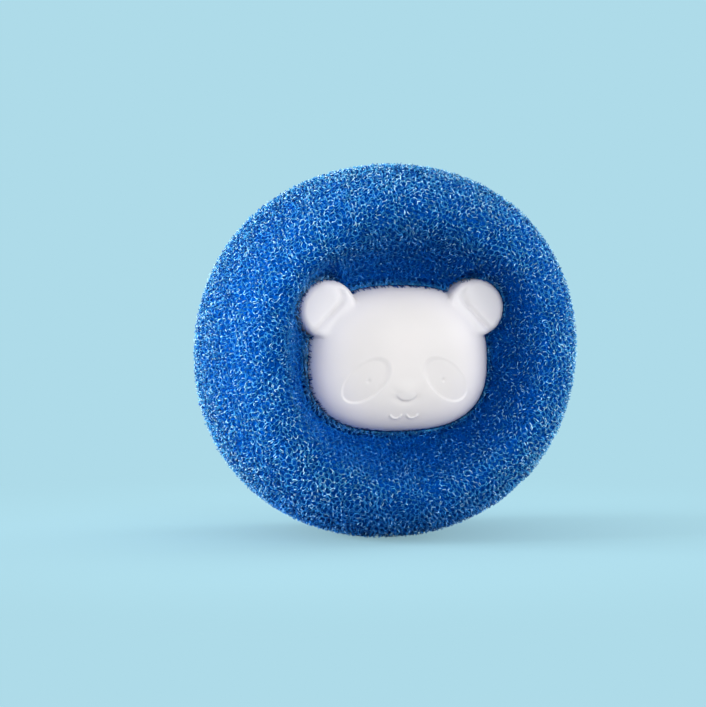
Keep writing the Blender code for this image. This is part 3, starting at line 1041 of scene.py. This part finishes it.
def cap_shell():
    """The cap's moulded wall as one closed grid, from the middle of the front to the socket.

    It is a row of rings, and a fan closes it at either end.
    """
    columns = 560
    angle = np.linspace(0, 2 * np.pi, columns, endpoint=False)
    rings = outer_rings(angle) + inner_rings(angle)
    points = np.concatenate(rings)
    front = [0.0, -HEAD_DROP, float(cap_level(np.zeros(1), np.full(1, -HEAD_DROP))[0])]
    ends = np.array([front, [0.0, 0.0, SOCKET_END]])
    here = np.arange(columns)
    after = (here + 1) % columns
    last = (len(rings) - 1) * columns
    cover = np.stack([np.full(columns, len(points)), here, after], -1)
    bottom = np.stack([np.full(columns, len(points) + 1), last + after, last + here], -1)
    quads = grid_faces(len(rings), columns, flip=True)
    return np.concatenate([points, ends]), quads, np.concatenate([cover, bottom])


def rib_plate(place, upright, start, stop):
    """One of the slim plates inside a cap, closed, as points and quads.

    It stands at a place along x (upright) or y, runs from start to stop the other way, and
    reaches from the cap's back up into its ceiling.
    """
    stations = 30
    run = np.linspace(start, stop, stations)
    thick = np.array([-RIB_WIDTH / 2, RIB_WIDTH / 2, RIB_WIDTH / 2, -RIB_WIDTH / 2])
    across = np.broadcast_to(place + thick, (stations, 4))
    along = np.broadcast_to(run[:, None], (stations, 4))
    x, y = (across, along) if upright else (along, across)
    level = np.where([True, True, False, False], CAP_BACK + 0.05, ceiling_level(x, y) + 0.4)
    points = np.stack([x, y, level], -1).reshape(-1, 3)
    sides = grid_faces(stations, 4, flip=not upright)
    first, last = np.arange(4), (stations - 1) * 4 + np.arange(4)
    lids = np.stack([first[::-1], last] if upright else [first, last[::-1]])
    return points, np.concatenate([sides, lids])


def cap_ribs():
    """The plates that stiffen a cap: five upright and one level, clear of the socket's bore."""
    clear = (BORE_RADIUS + TUBE_RADIUS) / 2
    line = np.linspace(-HEAD_HALF_WIDTH, HEAD_HALF_WIDTH, 1200)
    plates = []
    for place, upright in [(k * RIB_PITCH, True) for k in range(-2, 3)] + [(0.0, False)]:
        x, y = (np.full(1200, place), line) if upright else (line, np.full(1200, place))
        within = np.hypot(x, y + HEAD_DROP) < cap_reach(
            np.arctan2(y + HEAD_DROP, x), 0.4 - SHELL_WALL
        )
        low, high = line[within].min(), line[within].max()
        if abs(place) < clear:
            plates.append(rib_plate(place, upright, low, -clear))
            plates.append(rib_plate(place, upright, clear, high))
        else:
            plates.append(rib_plate(place, upright, low, high))
    return plates


def rim_light_share(tree, place):
    """Share of painted light: 0 on the middle of the face and 1 on its rim and ears, by the
    distance from the middle.
    """
    flat = add_node(
        tree,
        "ShaderNodeVectorMath",
        {0: place, 1: (1.0, 0.0, 1.0), 2: (0.0, 0.0, -(CENTRE_HEIGHT - HEAD_DROP) * MM)},
        operation="MULTIPLY_ADD",
    )
    out = add_node(tree, "ShaderNodeVectorMath", {0: flat}, operation="LENGTH")
    rim_light = add_node(
        tree,
        "ShaderNodeMapRange",
        {"Value": out, "From Min": 0.007, "From Max": 0.014},
        interpolation_type="SMOOTHSTEP",
    )
    return rim_light.outputs["Result"]


def cap_material(settings):
    """Injection-moulded white polypropylene: a soft gloss, slightly waxy and translucent.

    The middle of the face is a touch greyer and warmer than the rim and ears, which are
    painted lighter, as light against the shade that falls on the cap's edges and ears, and
    slow clouds about 11 mm wide tint it by a few parts in a hundred.
    """
    material, tree, shader = new_material("moulded_white_polypropylene")
    place = add_node(tree, "ShaderNodeTexCoord").outputs["Object"]
    cloud = add_node(tree, "ShaderNodeTexNoise", {"Vector": place, "Scale": 90.0, "Detail": 3.0})
    base = np.array(linear(settings.colour))
    tint = base * np.array([0.965, 0.965, 0.975, 1.0])
    mix = add_node(
        tree,
        "ShaderNodeMix",
        {"Factor": cloud, "A": tuple(tint), "B": tuple(base)},
        data_type="RGBA",
    )
    # Painted light: the rim and ears lighter than the middle of the face.
    whole = add_node(
        tree,
        "ShaderNodeMix",
        {"Factor": rim_light_share(tree, place), "A": mix, "B": linear(settings.rim_light_colour)},
        data_type="RGBA",
    )
    waxy = {
        "Subsurface Weight": 0.6,
        "Subsurface Radius": (1.0, 1.0, 1.0),
        "Subsurface Scale": 0.002,
    }
    gloss = {"Roughness": settings.roughness, "IOR": 1.49}
    fill_inputs(tree, shader, {"Base Color": whole, **gloss, **waxy})
    return material


class LAUNDRYBALL_OT_caps(bpy.types.Operator):
    """Make both bear-head caps"""

    bl_idname = "laundryball.caps"
    bl_label = "Bear-head caps"

    def execute(self, context):
        material = cap_material(context.scene.laundry_cap)
        points, quads, fan = cap_shell()
        for plate_points, plate_quads in cap_ribs():
            quads = np.concatenate([quads, plate_quads + len(points)])
            points = np.concatenate([points, plate_points])
        sizes = np.concatenate([np.full(len(quads), 4), np.full(len(fan), 3)])
        corners = np.concatenate([quads.ravel(), fan.ravel()])
        for name, node, body, turned in (
            ("front_bear_cap", "front_cap", "front", False),
            ("rear_bear_cap", "rear_cap", "rear", True),
        ):
            cap = mesh_from(name, to_world(points, turned), sizes, corners)
            cap.data.materials.append(material)
            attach(cap, body)
            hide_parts(node)
        return {"FINISHED"}


class LAUNDRYBALL_OT_pin(bpy.types.Operator):
    """Finish the joining pin, whose shape is the model's own"""

    bl_idname = "laundryball.pin"
    bl_label = "Joining pin"

    def execute(self, context):
        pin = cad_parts["joining_pin"]
        pin.data.materials.clear()
        pin.data.materials.append(self.undyed())
        return {"FINISHED"}

    def undyed(self):
        """Injection-moulded polypropylene without dye: milky white with a faint warm cast, in
        clouds about 1.4 mm wide."""
        material, tree, shader = new_material("undyed_polypropylene_pin")
        place = add_node(tree, "ShaderNodeTexCoord").outputs["Object"]
        grain = add_node(tree, "ShaderNodeTexNoise", {"Vector": place, "Scale": 700.0})
        mix = add_node(
            tree,
            "ShaderNodeMix",
            {"Factor": grain, "A": linear("D6D5CF"), "B": linear("E0DFD9")},
            data_type="RGBA",
        )
        fill_inputs(tree, shader, {"Base Color": mix, "Roughness": 0.45})
        return material


# The stage


def lamp(name, place, target, size, power):
    """A square white area lamp at a place, aimed at a target."""
    data = bpy.data.lights.new(name, "AREA")
    data.size = size
    data.energy = power
    made = bpy.data.objects.new(name, data)
    made.location = place
    made.rotation_euler = (Vector(target) - Vector(place)).to_track_quat("-Z", "Y").to_euler()
    bpy.context.scene.collection.objects.link(made)


def seen_ray(tree):
    """1 for what is seen straight, in a gloss or through glass, and 0 for all other light."""
    path = add_node(tree, "ShaderNodeLightPath").outputs
    seen = path["Is Camera Ray"]
    for also in ("Is Glossy Ray", "Is Transmission Ray"):
        either = add_node(tree, "ShaderNodeMath", {0: seen, 1: path[also]}, operation="MAXIMUM")
        seen = either.outputs["Value"]
    return seen


class LAUNDRYBALL_OT_stage(bpy.types.Operator):
    """Make the floor, the backdrop, the lamps and the camera"""

    bl_idname = "laundryball.stage"
    bl_label = "Stage"

    def execute(self, context):
        settings = context.scene.laundry_stage
        scene = context.scene
        scene.view_settings.view_transform = "Standard"
        self.floor(settings)
        self.lights()
        self.world(settings)
        self.camera(settings)
        return {"FINISHED"}

    def floor(self, settings):
        """A round sheet of paper under the ball, 1.8 m across."""
        columns = 96
        around = np.linspace(0, 2 * np.pi, columns, endpoint=False)
        rim = np.stack([0.9 * np.cos(around), 0.9 * np.sin(around), np.zeros(columns)], -1)
        sheet = mesh_from("floor", rim, [columns], np.arange(columns), smooth=False)
        sheet.data.materials.append(self.paper(settings))

    def paper(self, settings):
        """Pale paper: lit round the ball's foot, where it takes the shadow, and even further out.

        Seen straight, in a gloss or through glass it has the backdrop's colour, and to all
        other light it is a neutral grey, so that it doesn't tint the ball.
        """
        material, tree, shader = new_material("pale_paper")
        seen = seen_ray(tree)
        lit = np.array(linear(settings.backdrop)) * [0.72, 0.72, 0.72, 1.0]
        paper = add_node(
            tree,
            "ShaderNodeMix",
            {"Factor": seen, "A": (0.3, 0.3, 0.3, 1.0), "B": tuple(lit)},
            data_type="RGBA",
        )
        fill_inputs(
            tree, shader, {"Base Color": paper, "Roughness": 0.9, "Specular IOR Level": 0.0}
        )
        place = add_node(tree, "ShaderNodeTexCoord").outputs["Object"]
        far = add_node(tree, "ShaderNodeVectorMath", {0: place}, operation="LENGTH")
        fade = add_node(
            tree,
            "ShaderNodeMapRange",
            {"Value": far, "From Min": 0.03, "From Max": 0.1, "To Min": 0.5},
            interpolation_type="SMOOTHSTEP",
        )
        share = add_node(tree, "ShaderNodeMath", {0: fade, 1: seen}, operation="MULTIPLY")
        even = add_node(tree, "ShaderNodeEmission", {"Color": linear(settings.backdrop)})
        both = add_node(tree, "ShaderNodeMixShader", {0: share, 1: shader, 2: even})
        fill_inputs(tree, tree.nodes["Material Output"], {"Surface": both})
        return material

    def lights(self):
        """Two softboxes light the foam's sides, and three weaker lamps shape the face."""
        middle = (0.0, 0.0, CENTRE_HEIGHT * MM)
        for name, place, size, power in (
            ("left_softbox", (-0.64, 0.06, 0.11), 0.35, 11.0),
            ("right_softbox", (0.64, 0.12, 0.16), 0.35, 4.2),
            ("raking", (0.50, -0.47, 0.16), 0.2, 1.3),
            ("front", (0.2, -0.7, 0.14), 0.5, 0.95),
            ("left_fill", (-0.36, -0.6, 0.1), 0.4, 1.1),
        ):
            lamp(name, place, middle, size, power)

    def world(self, settings):
        """White light from all round, which shows as the backdrop's colour where it is seen."""
        world = bpy.data.worlds.new("studio")
        world.use_nodes = True
        tree = world.node_tree
        light = tree.nodes["Background"]
        fill_inputs(tree, light, {"Color": linear("FFFFFF"), "Strength": 0.88})
        even = add_node(tree, "ShaderNodeBackground", {"Color": linear(settings.backdrop)})
        both = add_node(tree, "ShaderNodeMixShader", {0: seen_ray(tree), 1: light, 2: even})
        fill_inputs(tree, tree.nodes["World Output"], {"Surface": both})
        bpy.context.scene.world = world

    def camera(self, settings):
        """A long lens that looks past the ball's middle, so that it lies where the photo has it."""
        data = bpy.data.cameras.new("camera")
        data.sensor_width = 36.0
        data.lens = 130.0
        az, el = math.radians(settings.azimuth), math.radians(settings.elevation)
        way = Vector(
            (math.sin(az) * math.cos(el), -math.cos(az) * math.cos(el), math.sin(el))
        )
        camera = bpy.data.objects.new("camera", data)
        turn = (-way).to_track_quat("-Z", "Y")
        right, up = turn @ Vector((1, 0, 0)), turn @ Vector((0, 1, 0))
        target = Vector((0, 0, CENTRE_HEIGHT * MM))
        across = (PHOTO_BALL[0] - PHOTO_CENTRE[0]) / PHOTO_SCALE
        above = (PHOTO_CENTRE[1] - PHOTO_BALL[1]) / PHOTO_SCALE
        aim = target - right * (across * MM) - up * (above * MM)
        camera.location = aim + way * CAMERA_DISTANCE
        camera.rotation_euler = turn.to_euler()
        bpy.context.scene.collection.objects.link(camera)
        bpy.context.scene.camera = camera


class LAUNDRYBALL_PT_panel(bpy.types.Panel):
    """Lists the laundry ball's sizes and makers"""

    bl_idname = "LAUNDRYBALL_PT_panel"
    bl_label = "Laundry ball"
    bl_space_type = "VIEW_3D"
    bl_region_type = "UI"
    bl_category = "Laundry ball"

    def draw(self, context):
        """Every setting, and then a button for each maker."""
        scene = context.scene
        for group in (scene.laundry_foam, scene.laundry_cap, scene.laundry_stage):
            for name in group.bl_rna.properties.keys():
                if name not in ("rna_type", "name"):
                    self.layout.prop(group, name)
        for operator in OPERATORS:
            self.layout.operator(operator.bl_idname)


OPERATORS = (
    LAUNDRYBALL_OT_foam,
    LAUNDRYBALL_OT_caps,
    LAUNDRYBALL_OT_pin,
    LAUNDRYBALL_OT_stage,
)
CLASSES = (FoamSettings, CapSettings, StageSettings, *OPERATORS, LAUNDRYBALL_PT_panel)


def register():
    """Makes the classes and their settings known to Blender."""
    for made in CLASSES:
        bpy.utils.register_class(made)
    bpy.types.Scene.laundry_foam = bpy.props.PointerProperty(type=FoamSettings)
    bpy.types.Scene.laundry_cap = bpy.props.PointerProperty(type=CapSettings)
    bpy.types.Scene.laundry_stage = bpy.props.PointerProperty(type=StageSettings)


def unregister():
    """Takes back all that register made known."""
    del bpy.types.Scene.laundry_stage
    del bpy.types.Scene.laundry_cap
    del bpy.types.Scene.laundry_foam
    for made in reversed(CLASSES):
        bpy.utils.unregister_class(made)


def main():
    """Makes every piece and the stage."""
    register()
    bpy.ops.laundryball.foam()
    bpy.ops.laundryball.caps()
    bpy.ops.laundryball.pin()
    bpy.ops.laundryball.stage()


if __name__ == "__main__":
    main()
